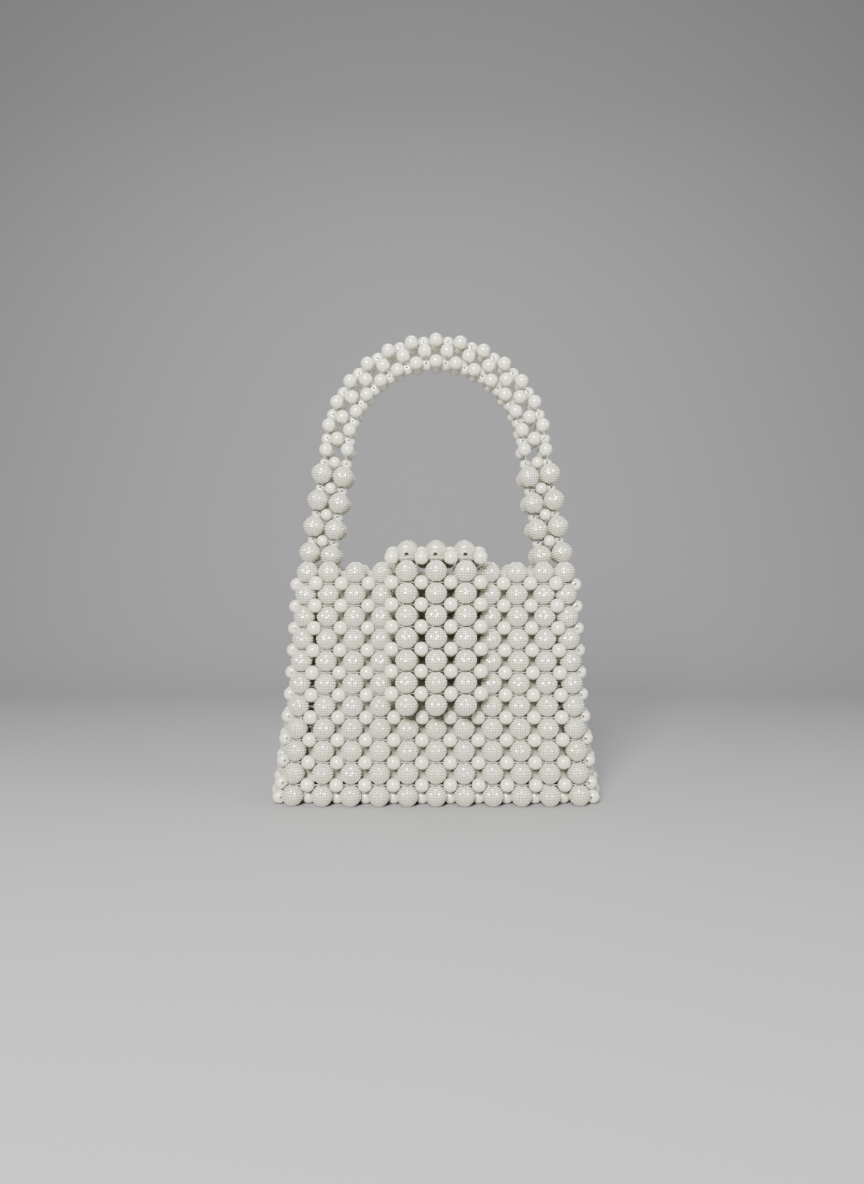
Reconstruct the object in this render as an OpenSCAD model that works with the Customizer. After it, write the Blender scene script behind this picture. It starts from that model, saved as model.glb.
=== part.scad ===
// Beaded top-handle evening bag in right-angle weave.
// Studded beads stand in columns, smooth pearls lie across the gaps between them,
// and thin clear line runs through every bead.
// X is across the front, Y is the depth with the front at -Y, Z is up.

/* [Beads and line] */
// Diameter of a studded bead
studded_d = 11.8; // [11.4:0.1:12]
// Diameter of a pearl of the body, flap and arch
pearl_d = 8; // [7:0.1:8.2]
// Diameter of a pearl of the rings above the studded rows of the handle
ring_pearl_d = 6.6; // [6:0.1:6.8]
// Diameter of the hole through a bead
hole_d = 2.2; // [2:0.1:2.4]
// Diameter of the clear line
line_d = 0.36; // [0.3:0.02:0.4]

/* [Body] */
// Columns on each side of the middle one, without the corner column
side_columns = 4; // [4:1:4]
// Rows of studded beads in the body
rows = 11; // [11:1:11]
// Spacing of the columns at the bottom
column_pitch = 16.04; // [16:0.02:16.4]
// Share by which the columns close up towards the top
column_taper = 0.05; // [0.045:0.001:0.05]
// Spacing of the rows of the front and back
row_pitch = 12.6; // [12.5:0.05:12.8]
// Spacing of the rows of the gussets
gusset_pitch = 12.45; // [12.4:0.05:12.5]
// From the middle of the bag to the front row of beads at the bottom
half_depth_low = 24.6; // [24.5:0.1:26]
// From the middle of the bag to the front row of beads at the top
half_depth_top = 19.5; // [19.3:0.1:21]
// Corner column, sideways from the middle, at the bottom
corner_x_low = 81; // [80.6:0.1:82]
// Corner column, sideways from the middle, at the top
corner_x_top = 73.2; // [73.2:0.1:74]
// Corner column, depth from the middle, at the bottom
corner_y_low = 23; // [22.8:0.1:23.5]
// Corner column, depth from the middle, at the top
corner_y_top = 18.9; // [18.9:0.1:19.2]
// Gusset column, sideways from the middle, at the top
gusset_x_top = 74.4; // [74:0.1:75]
// Extra width of the gusset at the bottom, falling evenly to the top
gusset_lean = 7.2; // [6:0.1:8]
// Further width of the gusset in the belly near the bottom
gusset_belly = 6.1; // [4:0.1:7]
// Height over which the belly fades
belly_height = 52; // [40:1:60]
// Gusset column, depth from the middle, at the bottom
gusset_y_low = 8.2; // [7.9:0.1:8.3]
// Gusset column, depth from the middle, at the top
gusset_y_top = 6.85; // [6.8:0.05:6.9]
// Least distance that a pearl stands out from its columns
pearl_pop = 1; // [0.9:0.1:1.5]
// Least distance that a gusset pearl stands out
gusset_pop = 4.8; // [4.6:0.1:5.2]

/* [Base] */
// Spacing of the base beads from front to back
base_pitch = 12.3; // [12.2:0.05:12.3]
// Sideways place of the outermost base beads
base_edge_x = 76; // [75.5:0.1:76.2]
// Height of the middle of the base pearls
base_pearl_z = 4.05; // [4.05:0.05:4.3]

/* [Flap] */
// Spacing of the three flap columns
flap_pitch = 16.4; // [16.2:0.1:16.6]
// Spacing of the hanging rows of the flap
flap_row_pitch = 12.3; // [12.3:0.05:12.6]
// Hanging rows of the flap
flap_rows = 7; // [4:1:8]
// Rows of the flap that cross the mouth
crossing_rows = 3; // [3:1:3]
// Distance from the front beads to the flap beads
wrap_r = 12.45; // [12.4:0.05:13]
// Elevation of the last bead row before the fold
fold_angle = 62; // [60:1:64]
// Spacing of the pearls on the back hinge of the flap
hinge_pitch = 15.55; // [15.5:0.01:15.6]

/* [Handle] */
// From the middle of the handle tube to each of its columns
tube_half = 6.3; // [6.3:0.05:6.5]
// Radius of the middle of the arch
arch_r = 58; // [57:0.5:59]
// Height of the middle of the arch
arch_z = 204; // [203:0.5:205]
// Levels of pearls in the arch
arch_levels = 15; // [15:1:15]
// Sideways place of the lowest row of the handle
leg_x_low = 67.6; // [67.4:0.1:67.8]
// Sideways place of the highest studded row of the handle
leg_x_top = 60.5; // [60.2:0.1:61.5]
// Spacing of the studded rows of the handle
leg_pitch = 15.4; // [15.4:0.05:15.5]

/* [Lining] */
// Thickness of the lining cloth
lining_t = 0.8; // [0.6:0.1:1]
// Height of the hem at the mouth
hem_h = 7; // [5:0.5:9]

/* [Hidden] */

// Fineness of beads and of line
bead_fn = 32;
line_fn = 16;
line_sides = 5;
studded_r = studded_d / 2;
pearl_r = pearl_d / 2;
// A pearl rests on the studded beads around it at this distance
rest_distance = studded_r + pearl_r + 0.12;
// The lowest beads touch the ground
floor_z = studded_r;
body_h = (rows - 1) * row_pitch;
top_z = floor_z + body_h;
// How far a line runs on past a bead
line_tail = 0.3;

function mix(a, b, t) = a + (b - a) * t;
function up(z) = (z - floor_z) / body_h;
function unit(v) = v / norm(v);
function row_z(r) = floor_z + r * row_pitch;
function gusset_z(r) = floor_z + r * gusset_pitch;
function half_depth(z) = mix(half_depth_low, half_depth_top, up(z));
function column_x(i, z) = i * column_pitch * (1 - column_taper * up(z));

// Column i of the front (side -1) or back (side 1) at height z
function panel_point(i, side, z) =
    abs(i) <= side_columns
        ? [column_x(i, z), side * half_depth(z), z]
        : [sign(i) * mix(corner_x_low, corner_x_top, up(z)), side * mix(corner_y_low, corner_y_top, up(z)), z];

function gusset_x(z) =
    gusset_x_top + gusset_lean * (1 - up(z)) + gusset_belly * exp(-pow(z / belly_height, 2));

// Inner gusset column on the left (hand -1) or right (hand 1), front (side -1) or back (side 1)
function gusset_point(hand, side, z) =
    [hand * gusset_x(z), side * mix(gusset_y_low, gusset_y_top, up(z)), z];

// The columns around a gusset, from the front corner at height z over the gusset columns at zg
// to the back corner
function gusset_ring(hand, z, zg) = [
    panel_point(hand * (side_columns + 1), -1, z),
    gusset_point(hand, -1, zg),
    gusset_point(hand, 1, zg),
    panel_point(hand * (side_columns + 1), 1, z)
];

// How far a pearl stands out so that it clears its beads
function pop_out(half_gap, half_step, least) =
    sqrt(max(least * least, pow(rest_distance, 2) - pow(half_gap, 2) - pow(half_step, 2)));

// Middle of the pearl between points a and b, pushed out along n
function pearl_between(a, b, n, half_step, least) =
    (a + b) / 2 + n * pop_out(norm([b.x - a.x, b.y - a.y]) / 2, half_step, least);

// Outward direction of the stretch from a to b, seen from above
function outward(a, b) =
    let (d = unit([b.x - a.x, b.y - a.y]), m = [a.x + b.x, a.y + b.y], n = [d.y, -d.x, 0])
    (m.x * n.x + m.y * n.y > 0 ? n : -n);

// Pearl number k of the front or back at level r, between columns k and k + 1
function panel_pearl(k, side, r) =
    let (z = row_z(r + 0.5), a = panel_point(k, side, z), b = panel_point(k + 1, side, z))
    pearl_between(a, b, outward(a, b), row_pitch / 2, pearl_pop);

// Direction of the hole of that pearl
function panel_pearl_way(k, side, r) =
    let (z = row_z(r + 0.5))
    unit(panel_point(k + 1, side, z) - panel_point(k, side, z));

// The rows of corner and gusset drift apart by up to this much towards the top
gusset_step = gusset_pitch / 2 - (rows - 1) * (row_pitch - gusset_pitch) / 2;

// Pearl k (0 to 2) of a gusset at level r
function gusset_pearl(hand, k, r) =
    let (c = gusset_ring(hand, row_z(r + 0.5), gusset_z(r + 0.5)), a = c[k], b = c[k + 1])
    pearl_between(a, b, outward(a, b), gusset_step, gusset_pop);

function gusset_pearl_way(hand, k, r) =
    let (c = gusset_ring(hand, row_z(r + 0.5), gusset_z(r + 0.5)), d = c[k + 1] - c[k])
    unit([d.x, d.y, 0]);

// Pearls along the bottom edge of a gusset
edge_drop = floor_z - base_pearl_z;
function gusset_edge_pearl(hand, k) =
    let (c = gusset_ring(hand, floor_z, floor_z), a = c[k], b = c[k + 1])
    pearl_between(a, b, outward(a, b), edge_drop, pearl_pop) - [0, 0, edge_drop];

function gusset_edge_way(hand, k) =
    let (c = gusset_ring(hand, floor_z, floor_z))
    unit(c[k + 1] - c[k]);

// Flap: the middle line of its beads in the Y-Z plane
fold_y = -half_depth_top;
last_top = [fold_y - wrap_r * cos(fold_angle), top_z + wrap_r * sin(fold_angle)];
hang_angle = 2;
hang_top = [fold_y - wrap_r * cos(hang_angle), top_z + wrap_r * sin(hang_angle)];
hang_way = unit([-(half_depth_low - half_depth_top) / body_h, -1]);
crossing_step = 12.4;
crown_y = -8;
crown_r = 85;
crown_z = last_top.y + pow(last_top.x - crown_y, 2) / (2 * crown_r);
function crossing(k) =
    let (y = last_top.x + k * crossing_step)
    [y, crown_z - pow(y - crown_y, 2) / (2 * crown_r)];
function hanging(k) = hang_top + hang_way * k * flap_row_pitch;

// Crossing rows from the back to the fold, then hanging rows from the fold to the tip
top_rows = [for (k = [crossing_rows:-1:0]) crossing(k)];
front_rows = [for (k = [0:flap_rows - 1]) hanging(k)];

// The flap turns on a line just above the back beads, and folds on one in front of the top bead
hinge_rise = 7.2;
hinge_point = [half_depth_top, top_z + hinge_rise];
fold_reach = 7.6;
fold_middle = (last_top + hang_top) / 2;
fold_out = unit(fold_middle - [fold_y, top_z]);
fold_point = fold_middle + fold_out * sqrt(pow(fold_reach, 2) - pow(norm(hang_top - last_top) / 2, 2));

// Handle: rows of a leg and levels of the arch as points in the X-Z plane of the right side
root_z = gusset_z(rows - 1) + gusset_pitch;
function leg_point(k) = [mix(leg_x_low, leg_x_top, k / 3), root_z + k * leg_pitch];
level_turn = 180 / (arch_levels - 1);
function arch_point(turn, r) = [r * cos(turn), arch_z + r * sin(turn)];
// Middle of the ring between row k and the next row or level
function ring_point(k) = (leg_point(k) + (k < 3 ? leg_point(k + 1) : arch_point(0, arch_r))) / 2;
leg_way = unit(leg_point(3) - leg_point(0));
leg_turn = atan2(leg_way.x, leg_way.y);

// The bag with its closed flap is centred on the origin in depth
shift = [0, (-front_rows[flap_rows - 1].x - half_depth_low) / 2, 0];

function in_depth(p, x) = [x, p.x, p.y];
function across(p, y) = [p.x, y, p.y];

// One bead with its hole along direction way
module bead(place, way, d) {
    translate(place)
        rotate([0, acos(way.z), atan2(way.y, way.x)])
            difference() {
                sphere(d = d, $fn = bead_fn);
                cylinder(d = hole_d, h = d + 2, center = true, $fn = line_fn);
            }
}

module studded(place, way) {
    color([0.93, 0.92, 0.87]) bead(place, way, studded_d);
}

module pearl(place, way, d = pearl_d) {
    color([0.96, 0.95, 0.92]) bead(place, way, d);
}

// A straight line from a to b
module stretch(a, b) {
    d = b - a;
    color([0.85, 0.88, 0.88])
        translate(a)
            rotate([0, acos(d.z / norm(d)), atan2(d.y, d.x)])
                cylinder(d = line_d, h = norm(d), $fn = line_fn);
}

// A line that bends at each of its points, all of them near a plane with normal flat
module strand(points, flat, closed = false) {
    n = len(points);
    before = function (i) closed ? points[(i + n - 1) % n] : points[max(i - 1, 0)];
    after = function (i) closed ? points[(i + 1) % n] : points[min(i + 1, n - 1)];
    rim = [
        for (i = [0:n - 1])
            let (way = unit(after(i) - before(i)), u = unit(cross(way, flat)), v = cross(u, way))
            for (s = [0:line_sides - 1])
                let (a = s * 360 / line_sides)
                points[i] + (u * cos(a) + v * sin(a)) * line_d / 2
    ];
    sides = [
        for (i = [0:n - (closed ? 1 : 2)], s = [0:line_sides - 1])
            let (a = i * line_sides, b = (i + 1) % n * line_sides, t = (s + 1) % line_sides)
            [a + s, a + t, b + t, b + s]
    ];
    ends = closed ? [] : [
        [for (s = [line_sides - 1:-1:0]) s],
        [for (s = [0:line_sides - 1]) (n - 1) * line_sides + s]
    ];
    color([0.85, 0.88, 0.88]) polyhedron(rim, concat(sides, ends), convexity = 10);
}

// Front and back
module panel_studded(side) {
    last = side_columns + 1;
    translate(shift)
        for (i = [-last:last], r = [0:rows - 1])
            studded(
                panel_point(i, side, row_z(r)),
                unit(panel_point(i, side, top_z) - panel_point(i, side, floor_z))
            );
}

module panel_pearls(side) {
    last = side_columns + 1;
    translate(shift)
        for (k = [-last:last - 1], r = [0:rows - 2])
            pearl(panel_pearl(k, side, r), panel_pearl_way(k, side, r));
}

module panel_column_lines(side) {
    last = side_columns + 1;
    translate(shift)
        for (i = [-last:last]) {
            low = panel_point(i, side, floor_z);
            high = panel_point(i, side, top_z);
            way = unit(high - low);
            stretch(low - way * (studded_r - line_tail), high + way * (studded_r - line_tail));
        }
}

// Gussets
module gusset_studded(hand) {
    translate(shift)
        for (side = [-1, 1], r = [0:rows - 1]) {
            z = gusset_z(r);
            way = unit(
                gusset_point(hand, side, z + gusset_pitch / 2) - gusset_point(hand, side, z - gusset_pitch / 2)
            );
            studded(gusset_point(hand, side, z), way);
        }
}

module gusset_pearls(hand) {
    translate(shift) {
        for (k = [0:2], r = [0:rows - 2]) pearl(gusset_pearl(hand, k, r), gusset_pearl_way(hand, k, r));
        for (k = [0:2]) pearl(gusset_edge_pearl(hand, k), gusset_edge_way(hand, k));
    }
}

module gusset_column_lines() {
    translate(shift)
        for (hand = [-1, 1], side = [-1, 1])
            strand([for (r = [0:rows - 1]) gusset_point(hand, side, gusset_z(r))], [0, 1, 0]);
}

// Both ends of the stretch of line inside a pearl
function through(place, way) = [place - way * (pearl_r + line_tail), place + way * (pearl_r + line_tail)];

// Points of the line around one side of the bag at level r, from front to back
function side_loop(hand, r) =
    let (front = hand > 0 ? side_columns : -side_columns - 1,
         inner = hand > 0 ? side_columns - 1 : -side_columns,
         ways = [
             [panel_pearl(inner, -1, r), hand * panel_pearl_way(inner, -1, r)],
             [panel_pearl(front, -1, r), hand * panel_pearl_way(front, -1, r)],
             for (k = [0:2]) [gusset_pearl(hand, k, r), gusset_pearl_way(hand, k, r)],
             [panel_pearl(front, 1, r), -hand * panel_pearl_way(front, 1, r)],
             [panel_pearl(inner, 1, r), -hand * panel_pearl_way(inner, 1, r)]
         ])
    [for (w = ways) each through(w[0], w[1])];

function reversed(list) = [for (i = [len(list) - 1:-1:0]) list[i]];

module level_lines() {
    translate(shift)
        for (r = [0:rows - 2])
            strand(concat(side_loop(1, r), reversed(side_loop(-1, r))), [0, 0, 1], closed = true);
}

// Base
module base_studded() {
    translate(shift) {
        for (i = [-side_columns:side_columns], j = [-1:1])
            studded([column_x(i, floor_z), j * base_pitch, floor_z], [0, 1, 0]);
        for (hand = [-1, 1], side = [-1, 1])
            studded([hand * base_edge_x, side * base_pitch / 2, floor_z], [0, 1, 0]);
    }
}

// Depths of the four rows of base pearls
base_rows = [-1.5 * base_pitch, -0.5 * base_pitch, 0.5 * base_pitch, 1.5 * base_pitch];
base_corner = [72.6, 17.4];

module base_pearls() {
    translate(shift) {
        for (i = [-side_columns:side_columns - 1], y = base_rows)
            pearl([column_x(i + 0.5, floor_z), y, base_pearl_z], [1, 0, 0]);
        for (hand = [-1, 1], side = [-1, 1])
            pearl([hand * base_corner.x, side * base_corner.y, base_pearl_z], [1, 0, 0]);
    }
}

module base_lines() {
    reach_y = 1.5 * base_pitch - 0.4;
    reach_x = column_x(side_columns, floor_z) - 1;
    translate(shift) {
        for (i = [-side_columns:side_columns])
            stretch([column_x(i, floor_z), -reach_y, floor_z], [column_x(i, floor_z), reach_y, floor_z]);
        for (y = base_rows) stretch([-reach_x, y, base_pearl_z], [reach_x, y, base_pearl_z]);
    }
}

// Lining: a tapered pouch with rounded corners, open at the mouth
lining_floor = 2 * floor_z + 0.8;
lining_top = top_z + 2;
lining_low = [77, half_depth_low - studded_r - 1.1];
lining_high = [66, half_depth_top - studded_r - 0.6];
lining_round = 6;

// A flat rounded plate that marks one end of the pouch, size given from the middle to each edge
module lining_plate(size, z, inset) {
    translate([0, 0, z])
        linear_extrude(0.01)
            hull()
                for (x = [-1, 1], y = [-1, 1])
                    translate([x * (size.x - lining_round), y * (size.y - lining_round)])
                        circle(r = lining_round - inset, $fn = bead_fn);
}

module pouch(inset, low, high) {
    share = function (z) (z - lining_floor) / (lining_top - lining_floor);
    hull() {
        lining_plate(mix(lining_low, lining_high, share(low)), low, inset);
        lining_plate(mix(lining_low, lining_high, share(high)), high, inset);
    }
}

module lining() {
    color([0.86, 0.84, 0.76])
        translate(shift)
            difference() {
                pouch(0, lining_floor, lining_top);
                pouch(lining_t, lining_floor + lining_t, lining_top + 1);
            }
}

module lining_hem() {
    color([0.88, 0.86, 0.79])
        translate(shift)
            difference() {
                pouch(lining_t + 0.05, lining_top - hem_h, lining_top - 0.1);
                pouch(2 * lining_t, lining_top - hem_h - 1, lining_top + 1);
            }
}

// Flap
flap_columns = [-1, 0, 1];
flap_inner = [-0.5, 0.5];
flap_edge = [-1.5, 1.5];

// Direction of the middle line of a list of rows at row k, between the points before and after
function row_way(list, k, before, after) =
    let (a = k > 0 ? list[k - 1] : before, b = k < len(list) - 1 ? list[k + 1] : after)
    unit(in_depth(b - a, 0));

module flap_studded(list, before, after) {
    translate(shift)
        for (k = [0:len(list) - 1], i = flap_columns)
            studded(in_depth(list[k], i * flap_pitch), row_way(list, k, before, after));
}

// Middle of the pearls between rows k and k + 1, pushed to the outside of the flap
function flap_pearl_point(list, k) =
    let (a = list[k], b = list[k + 1], d = unit(b - a), out = [d.y, -d.x])
    (a + b) / 2 + out * -pop_out(flap_pitch / 2, norm(b - a) / 2, pearl_pop);

module flap_pearls(list, columns) {
    translate(shift)
        for (k = [0:len(list) - 2], i = columns)
            pearl(in_depth(flap_pearl_point(list, k), i * flap_pitch), [1, 0, 0]);
}

module axis_pearls(point, columns, pitch) {
    translate(shift)
        for (i = columns) pearl(in_depth(point, i * pitch), [1, 0, 0]);
}

module axis_line(point, reach) {
    translate(shift) stretch(in_depth(point, -reach), in_depth(point, reach));
}

// Distance that a column line keeps from a hinge line
hinge_gap = 1.2;
function toward(a, b) = b + unit(a - b) * hinge_gap;

module flap_lines(list, before, after, reach) {
    translate(shift)
        for (i = flap_columns)
            strand([for (p = concat([before], list, [after])) in_depth(p, i * flap_pitch)], [1, 0, 0]);
    for (k = [0:len(list) - 2]) axis_line(flap_pearl_point(list, k), reach);
}

flap_reach = 1.5 * flap_pitch + pearl_r + line_tail;
hinge_reach = 1.5 * hinge_pitch + pearl_r + line_tail;

module flap_top_lines() {
    flap_lines(top_rows, toward(top_rows[0], hinge_point), toward(last_top, fold_point), flap_reach);
    axis_line(fold_point, flap_reach);
}

// Hanging column lines are straight, from near the fold to the tip
module flap_front_lines() {
    low = front_rows[flap_rows - 1] + hang_way * studded_r;
    high = hang_top - hang_way * studded_r;
    translate(shift)
        for (i = flap_columns) stretch(in_depth(high, i * flap_pitch), in_depth(low, i * flap_pitch));
    for (k = [0:flap_rows - 2]) axis_line(flap_pearl_point(front_rows, k), flap_reach);
}

// Handle. A station is the middle of a row or ring, turned by its lean from upright.
// Outer and inner columns lie along the station's own sideways direction.
function aside(turn) = [cos(turn), -sin(turn)];

// Column point of a station: side_out 1 is outer and -1 inner, side is -1 front and 1 back
function tube_point(hand, middle, turn, side_out, side) =
    let (p = middle + aside(turn) * side_out * tube_half)
    [hand * p.x, side * tube_half, p.y];

module leg_row(hand, k) {
    way = [hand * leg_way.x, 0, leg_way.y];
    translate(shift)
        for (o = [-1, 1], side = [-1, 1])
            studded(tube_point(hand, leg_point(k), leg_turn, o, side), way);
}

// The four pearls of a ring: front, back, outer and inner
module ring_of_pearls(middle, turn, hand, d) {
    a = aside(turn);
    way = [hand * a.x, 0, a.y];
    place = [hand * middle.x, 0, middle.y];
    translate(shift) {
        for (side = [-1, 1]) pearl(place + [0, side * tube_half, 0], way, d);
        for (o = [-1, 1]) pearl(place + way * o * tube_half, [0, 1, 0], d);
    }
}

// The line through the four pearls of a ring
module ring_line(middle, turn, hand, d) {
    a = aside(turn);
    way = [hand * a.x, 0, a.y];
    place = [hand * middle.x, 0, middle.y];
    reach = d / 2 + line_tail;
    translate(shift)
        strand(
            [for (c = [[1, -1], [1, 1], [-1, 1], [-1, -1]])
                each let (
                    along = place + way * c.x * reach + [0, c.y * tube_half, 0],
                    over = place + way * c.x * tube_half + [0, c.y * reach, 0]
                ) c.x * c.y > 0 ? [over, along] : [along, over]],
            cross(way, [0, 1, 0]), closed = true
        );
}

// Short lengths of line through the beads of a row
module row_lines(k) {
    reach = (studded_r + line_tail) * [leg_way.x, 0, leg_way.y];
    translate(shift)
        for (hand = [-1, 1], o = [-1, 1], side = [-1, 1]) {
            p = tube_point(hand, leg_point(k), leg_turn, o, side);
            d = [hand * reach.x, 0, reach.z];
            stretch(p - d, p + d);
        }
}

module leg_ring(hand, k) {
    ring_of_pearls(ring_point(k), leg_turn, hand, ring_pearl_d);
}

module ring_line_pair(k) {
    for (hand = [-1, 1]) ring_line(ring_point(k), leg_turn, hand, ring_pearl_d);
}

// The rings between the top studded rows and the arch
module shoulder_rings() {
    for (hand = [-1, 1]) ring_of_pearls(ring_point(3), leg_turn / 2, hand, ring_pearl_d);
}

// Arch: turn runs from 0 at the right end over the top to 180 at the left end
module arch_pearls(o) {
    translate(shift)
        for (k = [0:arch_levels - 1], side = [-1, 1]) {
            turn = k * level_turn;
            p = arch_point(turn, arch_r + o * tube_half);
            pearl(across(p, side * tube_half), [-sin(turn), 0, cos(turn)]);
        }
}

module arch_ring_pearls() {
    for (k = [0:arch_levels - 2]) {
        turn = (k + 0.5) * level_turn;
        ring_of_pearls(arch_point(turn, arch_r), -turn, 1, pearl_d);
    }
}

module arch_ring_lines() {
    for (k = [0:arch_levels - 2]) {
        turn = (k + 0.5) * level_turn;
        ring_line(arch_point(turn, arch_r), -turn, 1, pearl_d);
    }
    for (hand = [-1, 1]) ring_line(ring_point(3), leg_turn / 2, hand, ring_pearl_d);
}

// Column lines of the arch, from the top studded row of one leg to that of the other
module arch_column_lines() {
    translate(shift)
        for (o = [-1, 1], side = [-1, 1]) {
            right = tube_point(1, leg_point(3), leg_turn, o, side);
            left = tube_point(-1, leg_point(3), leg_turn, o, side);
            strand([
                right - [leg_way.x, 0, leg_way.y] * studded_r,
                right,
                for (k = [0:arch_levels - 1])
                    across(arch_point(k * level_turn, arch_r + o * tube_half), side * tube_half),
                left,
                left - [-leg_way.x, 0, leg_way.y] * studded_r
            ], [0, 1, 0]);
        }
}

panel_studded(-1);  // front_studded_beads
panel_pearls(-1);  // front_pearls
panel_studded(1);  // back_studded_beads
panel_pearls(1);  // back_pearls
gusset_studded(-1);  // left_gusset_studded_beads
gusset_pearls(-1);  // left_gusset_pearls
gusset_studded(1);  // right_gusset_studded_beads
gusset_pearls(1);  // right_gusset_pearls
base_studded();  // base_studded_beads
base_pearls();
panel_column_lines(-1);  // front_column_lines
panel_column_lines(1);  // back_column_lines
gusset_column_lines();
level_lines();
base_lines();
lining();
lining_hem();
axis_pearls(hinge_point, [-1.5, -0.5, 0.5, 1.5], hinge_pitch);  // flap_hinge_pearls
axis_line(hinge_point, hinge_reach);  // flap_hinge_line
flap_studded(top_rows, hinge_point, fold_point);  // flap_top_studded_beads
flap_pearls(top_rows, flap_inner);  // flap_top_inner_pearls
flap_pearls(top_rows, flap_edge);  // flap_top_edge_pearls
axis_pearls(fold_point, [-1.5, -0.5, 0.5, 1.5], flap_pitch);  // flap_fold_pearls
flap_top_lines();
flap_studded(front_rows, hang_top - hang_way, front_rows[flap_rows - 1] + hang_way);  // flap_front_studded_beads
flap_pearls(front_rows, flap_inner);  // flap_front_inner_pearls
flap_pearls(front_rows, flap_edge);  // flap_front_edge_pearls
flap_front_lines();
leg_row(-1, 0);  // left_handle_root_beads
leg_row(1, 0);  // right_handle_root_beads
row_lines(0);  // handle_root_lines
leg_ring(-1, 0);  // left_low_ring_pearls
leg_ring(1, 0);  // right_low_ring_pearls
ring_line_pair(0);  // low_ring_lines
leg_row(-1, 1);  // left_low_row_beads
leg_row(1, 1);  // right_low_row_beads
row_lines(1);  // low_row_lines
leg_ring(-1, 1);  // left_mid_ring_pearls
leg_ring(1, 1);  // right_mid_ring_pearls
ring_line_pair(1);  // mid_ring_lines
leg_row(-1, 2);  // left_mid_row_beads
leg_row(1, 2);  // right_mid_row_beads
row_lines(2);  // mid_row_lines
leg_ring(-1, 2);  // left_high_ring_pearls
leg_ring(1, 2);  // right_high_ring_pearls
ring_line_pair(2);  // high_ring_lines
leg_row(-1, 3);  // left_top_row_beads
leg_row(1, 3);  // right_top_row_beads
shoulder_rings();  // shoulder_ring_pearls
arch_pearls(1);  // arch_outer_pearls
arch_pearls(-1);  // arch_inner_pearls
arch_ring_pearls();
arch_column_lines();
arch_ring_lines();
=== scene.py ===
import math
import random

import bpy
import numpy as np
from mathutils import Matrix, Vector, noise


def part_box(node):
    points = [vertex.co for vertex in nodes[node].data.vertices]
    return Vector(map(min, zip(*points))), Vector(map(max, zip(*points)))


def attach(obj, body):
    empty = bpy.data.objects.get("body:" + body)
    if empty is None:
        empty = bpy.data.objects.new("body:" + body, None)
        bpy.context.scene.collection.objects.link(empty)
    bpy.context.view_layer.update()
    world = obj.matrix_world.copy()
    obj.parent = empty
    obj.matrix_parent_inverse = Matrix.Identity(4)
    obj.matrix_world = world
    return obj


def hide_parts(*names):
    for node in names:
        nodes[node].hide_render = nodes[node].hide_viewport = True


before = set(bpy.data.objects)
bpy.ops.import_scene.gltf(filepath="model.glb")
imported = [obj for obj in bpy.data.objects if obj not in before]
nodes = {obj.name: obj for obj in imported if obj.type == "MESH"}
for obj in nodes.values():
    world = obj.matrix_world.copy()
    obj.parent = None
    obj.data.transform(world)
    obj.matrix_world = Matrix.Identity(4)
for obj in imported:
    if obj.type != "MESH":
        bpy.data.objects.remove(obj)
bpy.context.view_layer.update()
bpy.ops.object.select_all(action="DESELECT")


# ---- Camera
# Held level, a little below the top of the bag's body and straight in front of it,
# with a wide lens.
studded_r = 0.0060
camera_away = 0.4598
camera_x = -0.0023
camera_z = 0.1207
camera_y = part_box("front_studded_beads")[0].y + studded_r - camera_away
bpy.ops.object.camera_add(location=(camera_x, camera_y, camera_z), rotation=(math.radians(90), 0, 0))
camera = bpy.context.object
camera.name = "camera"
camera.data.sensor_fit = "VERTICAL"
camera.data.sensor_height = 36
camera.data.lens = 24.84
camera.data.clip_start = 0.01
bpy.context.scene.camera = camera


# ---- Studded beads
# A 12 mm plastic bead moulded in two halves, bluntly pointed at its waist and at both holes, with
# rows of small raised studs all over. It is dipped in a milky pearl coat, as the smooth pearls are,
# so no two have quite the same warmth, and the grooves between the studs are painted dark as shade.
def new_group(name, inputs):
    """An empty node group with the given inputs, which puts out a colour, a roughness and a height."""
    group = bpy.data.node_groups.new(name, "ShaderNodeTree")
    for socket, kind in inputs:
        group.interface.new_socket(socket, in_out="INPUT", socket_type=f"NodeSocket{kind}")
    for socket, kind in (("Color", "Color"), ("Roughness", "Float"), ("Height", "Float")):
        group.interface.new_socket(socket, in_out="OUTPUT", socket_type=f"NodeSocket{kind}")
    return group


def dress(shader, look, strength, distance):
    """Links such a group's roughness, and its height as a bump, to a shader."""
    links = shader.id_data.links
    bump = shader.id_data.nodes.new("ShaderNodeBump")
    bump.inputs["Strength"].default_value = strength
    bump.inputs["Distance"].default_value = distance
    links.new(look.outputs["Roughness"], shader.inputs["Roughness"])
    links.new(look.outputs["Height"], bump.inputs["Height"])
    links.new(bump.outputs["Normal"], shader.inputs["Normal"])


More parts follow.
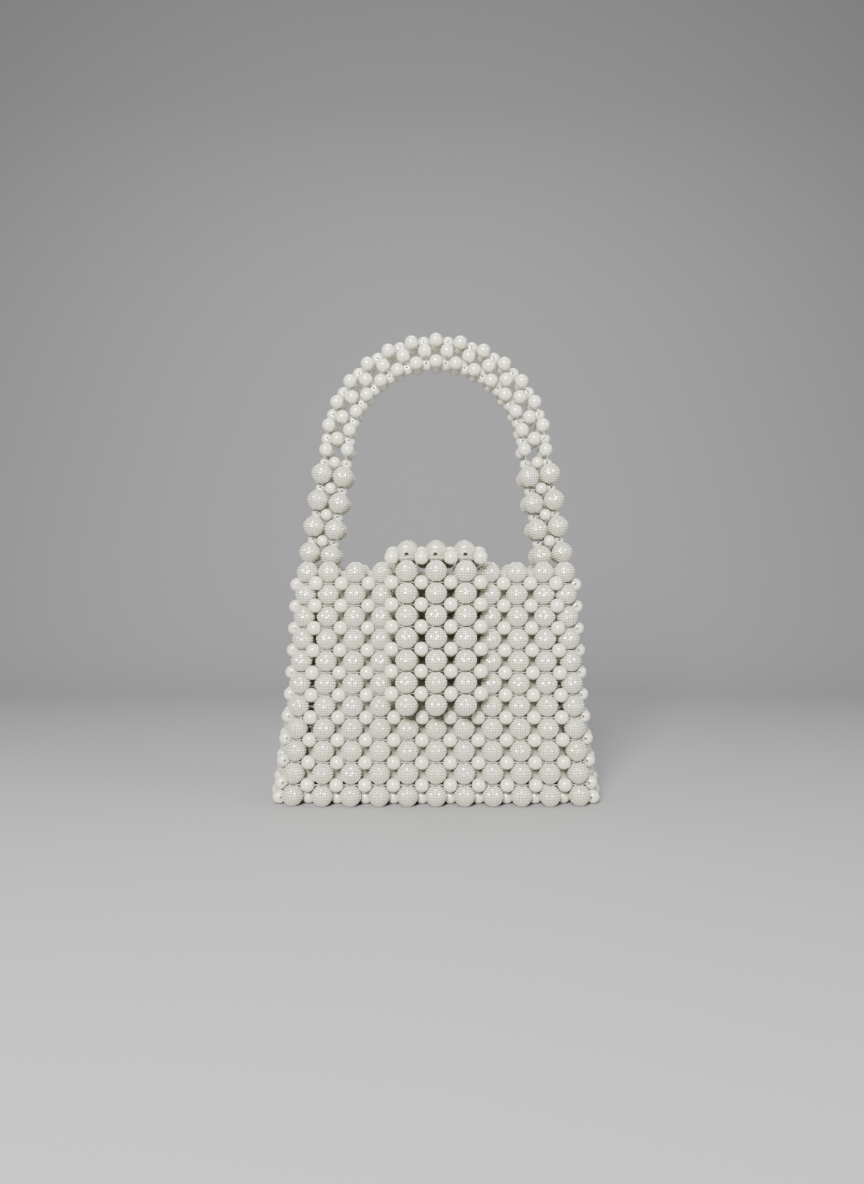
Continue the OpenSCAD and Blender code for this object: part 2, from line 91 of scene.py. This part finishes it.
def coat_group():
    """Colour, roughness and skin of the pearl coat: a cloud between two creams, moved by a bead's tone."""
    inputs = (("Warm", "Color"), ("Cool", "Color"), ("Cloud size", "Float"), ("Gloss", "Float"))
    group = new_group("pearl_coat", inputs)
    new = group.nodes.new
    link = group.links.new
    given = new("NodeGroupInput")
    out = new("NodeGroupOutput")
    place = new("ShaderNodeTexCoord")

    cloud = new("ShaderNodeTexNoise")
    cloud.inputs["Detail"].default_value = 3
    link(place.outputs["Object"], cloud.inputs["Vector"])
    link(given.outputs["Cloud size"], cloud.inputs["Scale"])

    tone = new("ShaderNodeAttribute")
    tone.attribute_name = "tone"
    share = new("ShaderNodeMath")
    share.operation = "MULTIPLY_ADD"
    share.inputs[1].default_value = 0.6
    link(tone.outputs["Fac"], share.inputs[0])
    mix = new("ShaderNodeMath")
    mix.operation = "MULTIPLY_ADD"
    mix.inputs[1].default_value = 0.5
    link(cloud.outputs["Fac"], mix.inputs[0])
    link(share.outputs[0], mix.inputs[2])
    colour = new("ShaderNodeMix")
    colour.data_type = "RGBA"
    link(mix.outputs[0], colour.inputs["Factor"])
    link(given.outputs["Warm"], colour.inputs["A"])
    link(given.outputs["Cool"], colour.inputs["B"])
    link(colour.outputs["Result"], out.inputs["Color"])

    rough = new("ShaderNodeMath")
    rough.operation = "MULTIPLY_ADD"
    rough.inputs[1].default_value = 0.12
    link(cloud.outputs["Fac"], rough.inputs[0])
    link(given.outputs["Gloss"], rough.inputs[2])
    link(rough.outputs[0], out.inputs["Roughness"])

    skin = new("ShaderNodeTexNoise")
    skin.inputs["Scale"].default_value = 2600
    skin.inputs["Detail"].default_value = 2
    link(place.outputs["Object"], skin.inputs["Vector"])
    link(skin.outputs["Fac"], out.inputs["Height"])
    return group


pearl_coat = coat_group()


def coated(name, warm, cool, gloss, groove_shade=None):
    """Plastic under pearl coat, with a dark colour painted in as shade wherever the groove attribute is
    high.
    """
    paint = bpy.data.materials.new(name)
    paint.use_nodes = True
    tree = paint.node_tree
    shader = tree.nodes["Principled BSDF"]
    coat = tree.nodes.new("ShaderNodeGroup")
    coat.node_tree = pearl_coat
    coat.inputs["Warm"].default_value = (*warm, 1)
    coat.inputs["Cool"].default_value = (*cool, 1)
    coat.inputs["Cloud size"].default_value = 90
    coat.inputs["Gloss"].default_value = gloss
    colour = coat.outputs["Color"]
    # A dark colour is painted into the grooves as shade.
    if groove_shade:
        depth = tree.nodes.new("ShaderNodeAttribute")
        depth.attribute_name = "groove_shade"
        line = tree.nodes.new("ShaderNodeMapRange")
        line.interpolation_type = "SMOOTHSTEP"
        line.inputs["From Min"].default_value = 0.45
        line.inputs["From Max"].default_value = 1.0
        shade_in_grooves = tree.nodes.new("ShaderNodeMix")
        shade_in_grooves.data_type = "RGBA"
        shade_in_grooves.inputs["B"].default_value = (*groove_shade, 1)
        tree.links.new(depth.outputs["Fac"], line.inputs["Value"])
        tree.links.new(line.outputs["Result"], shade_in_grooves.inputs["Factor"])
        tree.links.new(colour, shade_in_grooves.inputs["A"])
        colour = shade_in_grooves.outputs["Result"]
    tree.links.new(colour, shader.inputs["Base Color"])
    dress(shader, coat, 0.1, 0.0002)
    shader.inputs["Specular IOR Level"].default_value = 0.9
    shader.inputs["Coat Weight"].default_value = 1.0
    shader.inputs["Coat Roughness"].default_value = 0.14
    shader.inputs["Coat IOR"].default_value = 2.0
    shader.inputs["Sheen Weight"].default_value = 0.12
    return paint


def pick(model, part, wanted):
    """Leaves a model in edit mode with only its wanted vertices, edges or faces selected."""
    bpy.ops.object.mode_set(mode="EDIT")
    bpy.ops.mesh.select_mode(type={"vertices": "VERT", "edges": "EDGE", "polygons": "FACE"}[part])
    bpy.ops.mesh.select_all(action="DESELECT")
    bpy.ops.object.mode_set(mode="OBJECT")
    for element in getattr(model.data, part):
        element.select = bool(wanted(element))
    bpy.ops.object.mode_set(mode="EDIT")


def point(model, radius, power):
    """Presses a ball into a bluntly pointed one, ring by ring."""
    for level in sorted({round(v.co.z, 7) for v in model.data.vertices}):
        lift = abs(level) / radius
        side = math.sqrt(max(0, 1 - lift**2))
        grow = (side**power + lift**power) ** (-1 / power)
        pick(model, "vertices", lambda v: abs(v.co.z - level) < 1e-6)
        bpy.ops.transform.resize(value=(grow, grow, grow), center_override=(0, 0, 0))
    bpy.ops.object.mode_set(mode="OBJECT")


def drill(model, bore):
    """Opens a straight hole of radius bore from pole to pole, with a slightly sunk rim."""
    pick(model, "polygons", lambda f: len(f.vertices) == 3)
    bpy.ops.mesh.delete(type="FACE")
    bpy.ops.object.mode_set(mode="OBJECT")
    rim = min(math.hypot(v.co.x, v.co.y) for v in model.data.vertices)
    bpy.ops.object.mode_set(mode="EDIT")
    bpy.ops.mesh.select_mode(type="EDGE")
    bpy.ops.mesh.select_non_manifold()
    bpy.ops.mesh.extrude_edges_move()
    bpy.ops.transform.resize(value=(bore / rim, bore / rim, 0.97), center_override=(0, 0, 0))
    bpy.ops.mesh.bridge_edge_loops()
    bpy.ops.mesh.select_all(action="SELECT")
    bpy.ops.mesh.normals_make_consistent(inside=False)
    bpy.ops.object.mode_set(mode="OBJECT")


studded_bore = 0.001
studded_power = 1.72
stud_rise = 0.00032
rim_r = 0.0017
bpy.ops.mesh.primitive_uv_sphere_add(segments=24, ring_count=12, radius=studded_r)
studded_model = bpy.context.object
studded_model.name = "studded_model"
point(studded_model, studded_r, studded_power)
drill(studded_model, studded_bore)
groove_corners = len(studded_model.data.vertices)
outside = 0.85 * studded_r
pick(studded_model, "polygons", lambda f: f.center.length > outside and f.center.xy.length > rim_r)
bpy.ops.mesh.poke(offset=stud_rise, use_relative_offset=False, center_mode="MEDIAN")
bpy.ops.object.mode_set(mode="OBJECT")
# The groove attribute marks the corners between the studs, where the shade is painted.
groove_shade = studded_model.data.attributes.new("groove_shade", "FLOAT", "POINT")
groove_shade.data.foreach_set("value", [float(v.index < groove_corners) for v in studded_model.data.vertices])
# Its last colour is the shade painted into the grooves.
studded_model.data.materials.append(
    coated("studded_coat", (0.60, 0.57, 0.41), (0.66, 0.65, 0.53), 0.24, (0.17, 0.16, 0.11))
)
bpy.ops.object.shade_flat()


# ---- Smooth pearls
# Plain round imitation pearls, 8 mm in the weave and just under 7 mm in the rings of the handle,
# with the glossiest coat and a drilled hole.
smooth_coat = coated("smooth_coat", (0.57, 0.55, 0.40), (0.62, 0.61, 0.50), 0.2)
pearl_bore = 0.0009


def pearl_model(name, radius):
    bpy.ops.object.select_all(action="DESELECT")
    bpy.ops.mesh.primitive_uv_sphere_add(segments=12, ring_count=8, radius=radius)
    model = bpy.context.object
    model.name = name
    drill(model, pearl_bore)
    model.data.materials.append(smooth_coat)
    bpy.ops.object.shade_smooth_by_angle(angle=math.radians(50))
    return model


pearl_8 = pearl_model("pearl_model", 0.00405)
pearl_7 = pearl_model("ring_pearl_model", 0.0034)


# ---- Stringing
# Every bead sits where its counterpart in the frame is, with its hole along the same line,
# turned at random about that line and a little tipped, as on a real string.
def bead_places(node):
    """Middle and hole direction of each bead of a CAD node, found from its separate shells."""
    mesh = nodes[node].data
    points = np.empty(len(mesh.vertices) * 3, np.float32)
    mesh.vertices.foreach_get("co", points)
    points = points.reshape(-1, 3).astype(float)
    corners = np.empty(len(mesh.loops), np.int32)
    mesh.loops.foreach_get("vertex_index", corners)
    corners = corners.reshape(-1, 3)
    microns = np.round(points * 1e6).astype(np.int64) + 2**20
    keys = (microns[:, 0] * 2**21 + microns[:, 1]) * 2**21 + microns[:, 2]
    triangles = np.unique(keys, return_inverse=True)[1].reshape(-1)[corners]
    shell = np.arange(triangles.max() + 1)
    while True:
        low = np.repeat(shell[triangles].min(axis=1), 3)
        if (shell[triangles.ravel()] == low).all():
            break
        np.minimum.at(shell, triangles.ravel(), low)
        shell = shell[shell]
    a, b, c = points[corners[:, 0]], points[corners[:, 1]], points[corners[:, 2]]
    facing = np.cross(b - a, c - a)
    centres = (a + b + c) / 3
    owner = shell[triangles[:, 0]]
    places = []
    for bead in np.unique(owner):
        mine = owner == bead
        around = np.vstack([a[mine], b[mine], c[mine]])
        middle = (around.min(axis=0) + around.max(axis=0)) / 2
        reach = np.linalg.norm(around - middle, axis=1).max()
        wall = facing[mine][np.linalg.norm(centres[mine] - middle, axis=1) < 0.8 * reach]
        wall /= np.linalg.norm(wall, axis=1)[:, None] + 1e-12
        hole = np.linalg.eigh(wall.T @ wall)[1][:, 0]
        places.append((Vector(middle), Vector(hole)))
    return sorted(places, key=lambda place: tuple(round(c, 4) for c in place[0]))


draw = random.Random(7)
tip_spread = 0.03


def strung(name, model, node, body):
    """Copies of a bead model at the places of a CAD node, joined into one piece."""
    bpy.ops.object.select_all(action="DESELECT")
    for middle, hole in bead_places(node):
        if hole.z < -0.1:
            hole = -hole
        tip = Vector((draw.gauss(0, tip_spread), draw.gauss(0, tip_spread), 1))
        turn = (hole.to_track_quat("Z", "Y") @ tip.to_track_quat("Z", "Y")).to_matrix().to_4x4()
        spin = Matrix.Rotation(draw.uniform(0, 2 * math.pi), 4, "Z")
        mesh = model.data.copy()
        mesh.transform(Matrix.Translation(middle) @ turn @ spin)
        tone = mesh.attributes.new("tone", "FLOAT", "POINT")
        tone.data.foreach_set("value", [draw.random()] * len(mesh.vertices))
        bead = bpy.data.objects.new(name, mesh)
        bpy.context.collection.objects.link(bead)
        bead.select_set(True)
        bpy.context.view_layer.objects.active = bead
    bpy.ops.object.join()
    piece = bpy.context.object
    piece.name = name
    piece.select_set(False)
    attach(piece, body)
    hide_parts(node)


# ---- Body of the bag
# Front, back, gussets and base are one weave: studded beads stand in columns,
# and pearls lie across the gaps between them, with the line running through both.
for panel in ("front", "back"):
    strung(f"{panel}_studded", studded_model, f"{panel}_studded_beads", "bag")
    strung(f"{panel}_smooth", pearl_8, f"{panel}_pearls", "bag")
for hand in ("left", "right"):
    strung(f"{hand}_gusset_studded", studded_model, f"{hand}_gusset_studded_beads", "bag")
    strung(f"{hand}_gusset_smooth", pearl_8, f"{hand}_gusset_pearls", "bag")
strung("base_studded", studded_model, "base_studded_beads", "bag")
strung("base_smooth", pearl_8, "base_pearls", "bag")


# ---- Lining
# A pouch of thin ivory satin, cut in one piece folded under the base and sewn up its sides.
# It hangs inside the beads from its mouth, and droops a little between the columns that hold it.
def weave_group():
    """Colour, roughness and thread height of a satin weave, in metres along the cloth, with shade painted
    where the threads dip.
    """
    group = new_group("satin_weave", (("Light", "Color"), ("Dark", "Color"), ("Threads per m", "Float")))
    new = group.nodes.new
    link = group.links.new
    given = new("NodeGroupInput")
    out = new("NodeGroupOutput")
    cloth = new("ShaderNodeUVMap")
    cloth.uv_map = "cloth"
    threads = []
    for way in ("X", "Y"):
        wave = new("ShaderNodeTexWave")
        wave.bands_direction = way
        wave.inputs["Distortion"].default_value = 0.6
        wave.inputs["Detail Scale"].default_value = 2
        link(cloth.outputs["UV"], wave.inputs["Vector"])
        link(given.outputs["Threads per m"], wave.inputs["Scale"])
        threads.append(wave)
    over = new("ShaderNodeMath")
    over.operation = "MAXIMUM"
    link(threads[0].outputs["Fac"], over.inputs[0])
    link(threads[1].outputs["Fac"], over.inputs[1])
    link(over.outputs[0], out.inputs["Height"])
    slub = new("ShaderNodeTexNoise")
    slub.inputs["Scale"].default_value = 120
    slub.inputs["Detail"].default_value = 4
    link(cloth.outputs["UV"], slub.inputs["Vector"])
    # The colour is painted darker where the threads dip, as shade between them, and drifts with the slub
    # cloud, the yarn's own tone.
    dip_shade_and_slub = new("ShaderNodeMath")
    dip_shade_and_slub.operation = "MULTIPLY"
    link(over.outputs[0], dip_shade_and_slub.inputs[0])
    link(slub.outputs["Fac"], dip_shade_and_slub.inputs[1])
    colour = new("ShaderNodeMix")
    colour.data_type = "RGBA"
    link(dip_shade_and_slub.outputs[0], colour.inputs["Factor"])
    link(given.outputs["Dark"], colour.inputs["A"])
    link(given.outputs["Light"], colour.inputs["B"])
    link(colour.outputs["Result"], out.inputs["Color"])
    rough = new("ShaderNodeMapRange")
    rough.inputs["To Min"].default_value = 0.38
    rough.inputs["To Max"].default_value = 0.62
    link(slub.outputs["Fac"], rough.inputs["Value"])
    link(rough.outputs["Result"], out.inputs["Roughness"])
    return group


satin_weave = weave_group()


def satin(name, light, dark, threads):
    cloth = bpy.data.materials.new(name)
    cloth.use_nodes = True
    tree = cloth.node_tree
    shader = tree.nodes["Principled BSDF"]
    weave = tree.nodes.new("ShaderNodeGroup")
    weave.node_tree = satin_weave
    weave.inputs["Light"].default_value = (*light, 1)
    weave.inputs["Dark"].default_value = (*dark, 1)
    weave.inputs["Threads per m"].default_value = threads
    tree.links.new(weave.outputs["Color"], shader.inputs["Base Color"])
    dress(shader, weave, 0.35, 0.0001)
    shader.inputs["Sheen Weight"].default_value = 0.4
    return cloth


lining_low, lining_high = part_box("lining")
lining_y = (lining_low.y + lining_high.y) / 2
lining_tall = lining_high.z - lining_low.z
floor_half = Vector(((lining_high.x - lining_low.x) / 2, (lining_high.y - lining_low.y) / 2))
mouth_half = Vector((0.066, 0.013))
lining_round = 0.006
lining_thick = 0.0005
held_every = 0.0153
fold_deep = 0.0013
belly_deep = 0.0036
mouth_dip = 0.0011
floor_sag = 0.0012
courses = 36
threads_per_m = 1500


def half_at(share):
    """Half the width and depth of the pouch, from its floor at 0 to its mouth at 1."""
    return floor_half.lerp(mouth_half, share)


bpy.ops.object.select_all(action="DESELECT")
floor_middle = (0, lining_y, lining_low.z)
bpy.ops.mesh.primitive_grid_add(x_subdivisions=48, y_subdivisions=11, size=2, location=floor_middle)
lining = bpy.context.object
lining.name = "lining_pouch"
bpy.ops.transform.resize(value=(floor_half.x, floor_half.y, 1), center_override=floor_middle)
bpy.ops.object.transform_apply()
bpy.ops.object.mode_set(mode="EDIT")
bpy.ops.mesh.select_mode(type="EDGE")
bpy.ops.mesh.select_all(action="DESELECT")
bpy.ops.mesh.select_non_manifold()
for course in range(courses):
    below, above = half_at(course / courses), half_at((course + 1) / courses)
    bpy.ops.mesh.extrude_edges_move(TRANSFORM_OT_translate={"value": (0, 0, lining_tall / courses)})
    wider = (above.x / below.x, above.y / below.y, 1)
    bpy.ops.transform.resize(value=wider, center_override=(0, lining_y, 0))
bpy.ops.mesh.select_all(action="SELECT")
bpy.ops.mesh.normals_make_consistent(inside=False)
bpy.ops.object.mode_set(mode="OBJECT")

# Corners rounded, folds between the places where the mouth is held, and a slack belly
for v in lining.data.vertices:
    share = (v.co.z - lining_low.z) / lining_tall
    half = half_at(share)
    x, y = v.co.x, v.co.y - lining_y
    past_x = max(0, abs(x) - half.x + lining_round)
    past_y = max(0, abs(y) - half.y + lining_round)
    if past_x and past_y:
        keep = max(past_x, past_y) / math.hypot(past_x, past_y)
    else:
        keep = 1
    out = Vector((math.copysign(past_x * keep, x), math.copysign(past_y * keep, y)))
    x += out.x - math.copysign(past_x, x)
    y += out.y - math.copysign(past_y, y)
    fold = (1 - math.cos(2 * math.pi * x / held_every)) / 2
    slack = 0.5 + 0.5 * noise.noise(Vector((x * 55, y * 30, v.co.z * 22)))
    if share > 0:
        belly = belly_deep * slack * 4 * share * (1 - share)
        inward = fold_deep * fold * share**3 + belly + 0.0002
        x -= out.normalized().x * inward
        y -= out.normalized().y * inward
        drop = mouth_dip * fold * share**12
    else:
        drop = -floor_sag * slack * min(1, (half.x - abs(x)) / 0.01, (half.y - abs(y)) / 0.006)
    v.co = (x, y + lining_y, v.co.z - drop)


def lay_cloth(piece):
    """Gives a piece its cloth map: metres across and up, seen square to each wall."""
    cloth = piece.data.uv_layers.new(name="cloth")
    for face in piece.data.polygons:
        flat = max(range(3), key=lambda i: abs(face.normal[i]))
        across, up = ((1, 2), (0, 2), (0, 1))[flat]
        for corner in face.loop_indices:
            at = piece.data.vertices[piece.data.loops[corner].vertex_index].co
            cloth.data[corner].uv = (at[across], at[up])


def give_thickness(piece, thickness):
    """Turns a single layer of cloth into one with two faces, the second inside the first."""
    bpy.context.view_layer.objects.active = piece
    solid = piece.modifiers.new("thickness", "SOLIDIFY")
    solid.thickness = thickness
    solid.offset = -1
    bpy.ops.object.modifier_apply(modifier=solid.name)
    bpy.ops.object.shade_smooth_by_angle(angle=math.radians(50))


# ---- Hem
# At the mouth the cloth is turned in on itself and sewn with one row of small running stitches.
hem_tall = 2 * lining_tall / courses
hem_thick = 0.0007
stitch_up = 0.0012
stitch_in = 0.0008
stitch_share = 0.33
stitch_r = 0.00018
bpy.ops.object.duplicate()
hem = bpy.context.object
hem.name = "lining_hem_fold"
pick(hem, "polygons", lambda f: f.center.z < lining_high.z - hem_tall)
bpy.ops.mesh.delete(type="FACE")
bpy.ops.mesh.select_all(action="SELECT")
bpy.ops.transform.shrink_fatten(value=-hem_thick)
bpy.ops.object.mode_set(mode="OBJECT")
hem_foot = [
    [hem.data.vertices[i].co.copy() for i in edge.vertices]
    for edge in hem.data.edges
    if all(hem.data.vertices[i].co.z < lining_high.z - 0.9 * hem_tall for i in edge.vertices)
]
lay_cloth(hem)
give_thickness(hem, hem_thick)
hem.data.materials.append(satin("hem_satin", (0.60, 0.58, 0.48), (0.44, 0.42, 0.35), threads_per_m))
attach(hem, "bag")
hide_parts("lining_hem")

lay_cloth(lining)
bpy.ops.object.select_all(action="DESELECT")
lining.select_set(True)
give_thickness(lining, lining_thick)
# The lining is the same cloth as the hem, painted darker as shade inside the bag.
lining.data.materials.append(satin("shaded_lining_satin", (0.52, 0.50, 0.43), (0.36, 0.35, 0.30), threads_per_m))
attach(lining, "bag")
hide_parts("lining")


def clouded(name, dark, light, scale, roughness):
    """A material whose colour drifts between two tones."""
    material = bpy.data.materials.new(name)
    material.use_nodes = True
    tree = material.node_tree
    shader = tree.nodes["Principled BSDF"]
    place = tree.nodes.new("ShaderNodeTexCoord")
    cloud = tree.nodes.new("ShaderNodeTexNoise")
    cloud.inputs["Scale"].default_value = scale
    tint = tree.nodes.new("ShaderNodeMix")
    tint.data_type = "RGBA"
    tint.inputs["A"].default_value = (*dark, 1)
    tint.inputs["B"].default_value = (*light, 1)
    tree.links.new(place.outputs["Object"], cloud.inputs["Vector"])
    tree.links.new(cloud.outputs["Fac"], tint.inputs["Factor"])
    tree.links.new(tint.outputs["Result"], shader.inputs["Base Color"])
    shader.inputs["Roughness"].default_value = roughness
    return material


thread = clouded("sewing_thread", (0.66, 0.64, 0.55), (0.80, 0.78, 0.70), 900, 0.6)
bpy.ops.object.select_all(action="DESELECT")
bpy.ops.mesh.primitive_uv_sphere_add(segments=6, ring_count=4, radius=1)
stitch_model = bpy.context.object
stitch_model.data.materials.append(thread)
bpy.ops.object.shade_smooth()
bpy.ops.object.select_all(action="DESELECT")
for start, end in hem_foot:
    along = end - start
    inside = along.cross(Vector((0, 0, 1))).normalized()
    if inside.dot(Vector((start.x, start.y - lining_y, 0))) > 0:
        inside = -inside
    turn = Matrix((along.normalized(), inside, along.normalized().cross(inside))).transposed().to_4x4()
    middle = (start + end) / 2 + inside * stitch_in + Vector((0, 0, stitch_up))
    mesh = stitch_model.data.copy()
    size = Matrix.Diagonal((along.length * stitch_share, stitch_r, stitch_r, 1))
    mesh.transform(Matrix.Translation(middle) @ turn @ size)
    stitch = bpy.data.objects.new("hem_stitches", mesh)
    bpy.context.collection.objects.link(stitch)
    stitch.select_set(True)
    bpy.context.view_layer.objects.active = stitch
bpy.ops.object.join()
stitches = bpy.context.object
stitches.name = "hem_stitches"
bpy.ops.object.mode_set(mode="EDIT")
bpy.ops.mesh.select_all(action="SELECT")
bpy.ops.mesh.normals_make_consistent(inside=False)
bpy.ops.object.mode_set(mode="OBJECT")
bpy.data.objects.remove(stitch_model)
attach(stitches, "bag")


# ---- Flap
# Three columns run on from the back, over the mouth, and hang down the front.
strung("flap_hinge_smooth", pearl_8, "flap_hinge_pearls", "bag")
strung("flap_top_studded", studded_model, "flap_top_studded_beads", "flap_top")
strung("flap_top_inner", pearl_8, "flap_top_inner_pearls", "flap_top")
strung("flap_top_edge", pearl_8, "flap_top_edge_pearls", "flap_top")
strung("flap_fold_smooth", pearl_8, "flap_fold_pearls", "flap_top")
strung("flap_front_studded", studded_model, "flap_front_studded_beads", "flap_front")
strung("flap_front_inner", pearl_8, "flap_front_inner_pearls", "flap_front")
strung("flap_front_edge", pearl_8, "flap_front_edge_pearls", "flap_front")


# ---- Handle
# A square tube of four columns: four rows of studded beads in each leg, with rings of small
# pearls between them, and an arch of 8 mm pearls and rings over the top.
leg_bodies = {"handle_root": "bag", "low_row": "low_row", "mid_row": "mid_row", "top_row": "handle_arch"}
for hand in ("left", "right"):
    for row, body in leg_bodies.items():
        strung(f"{hand}_{row}_studded", studded_model, f"{hand}_{row}_beads", body)
    for ring in ("low_ring", "mid_ring", "high_ring"):
        strung(f"{hand}_{ring}_smooth", pearl_7, f"{hand}_{ring}_pearls", ring)
strung("arch_outer_smooth", pearl_8, "arch_outer_pearls", "handle_arch")
strung("arch_inner_smooth", pearl_8, "arch_inner_pearls", "handle_arch")
strung("arch_ring_smooth", pearl_8, "arch_ring_pearls", "handle_arch")
strung("shoulder_ring_smooth", pearl_7, "shoulder_ring_pearls", "handle_arch")

for model in (studded_model, pearl_8, pearl_7):
    bpy.data.objects.remove(model)


# ---- Clear line
# Thin nylon line, almost clear, holds every bead; its own tubes of the frame are shown.
nylon = clouded("nylon", (0.70, 0.72, 0.70), (0.86, 0.87, 0.84), 300, 0.2)
nylon_shader = nylon.node_tree.nodes["Principled BSDF"]
nylon_shader.inputs["Transmission Weight"].default_value = 0.5
nylon_shader.inputs["IOR"].default_value = 1.53
for name, tube in nodes.items():
    if name.endswith("lines") or name.endswith("hinge_line"):
        tube.data.materials.clear()
        tube.data.materials.append(nylon)


# ---- Studio
# A grey floor that sweeps up behind the bag, with three soft lamps.
bpy.ops.object.select_all(action="DESELECT")
bpy.ops.mesh.primitive_grid_add(x_subdivisions=2, y_subdivisions=60, size=1)
floor = bpy.context.object
floor.name = "floor"
floor_wide = 6
floor_near = -1.2
floor_run = 3.2
flat_run = 0.5
sweep_r = 0.5
sweep_run = sweep_r * math.pi / 2
for v in floor.data.vertices:
    run = (v.co.y + 0.5) * floor_run + floor_near
    v.co.x *= floor_wide
    if run < flat_run:
        v.co.y, v.co.z = run, 0
    elif run < flat_run + sweep_run:
        a = (run - flat_run) / sweep_r
        v.co.y, v.co.z = flat_run + sweep_r * math.sin(a), sweep_r * (1 - math.cos(a))
    else:
        v.co.y, v.co.z = flat_run + sweep_r, sweep_r + run - flat_run - sweep_run
bpy.ops.object.shade_smooth()
floor_paint = bpy.data.materials.new("floor_paint")
floor_paint.use_nodes = True
floor_shader = floor_paint.node_tree.nodes["Principled BSDF"]
floor_shader.inputs["Base Color"].default_value = (0.26, 0.26, 0.27, 1)
floor_shader.inputs["Roughness"].default_value = 0.8
floor.data.materials.append(floor_paint)


lamps_aim = Vector((0, 0, 0.12))


def lamp(name, place, size, watts, colour):
    bpy.ops.object.light_add(type="AREA", location=place)
    light = bpy.context.object
    light.name = name
    light.data.size = size
    light.data.energy = watts
    light.data.color = colour
    light.rotation_euler = (lamps_aim - light.location).to_track_quat("-Z", "Y").to_euler()


lamp("key_lamp", (-0.2, -0.95, 0.55), 0.36, 40, (1.0, 0.985, 0.93))
lamp("fill_lamp", (0.9, -0.5, 0.5), 0.5, 5, (0.97, 0.98, 1.0))
lamp("top_lamp", (0.0, 0.1, 1.1), 0.5, 7, (1.0, 1.0, 0.99))
world = bpy.context.scene.world or bpy.data.worlds.new("World")
bpy.context.scene.world = world
world.use_nodes = True
sky = world.node_tree.nodes["Background"]
sky.inputs["Color"].default_value = (0.85, 0.87, 0.9, 1)
sky.inputs["Strength"].default_value = 0.25
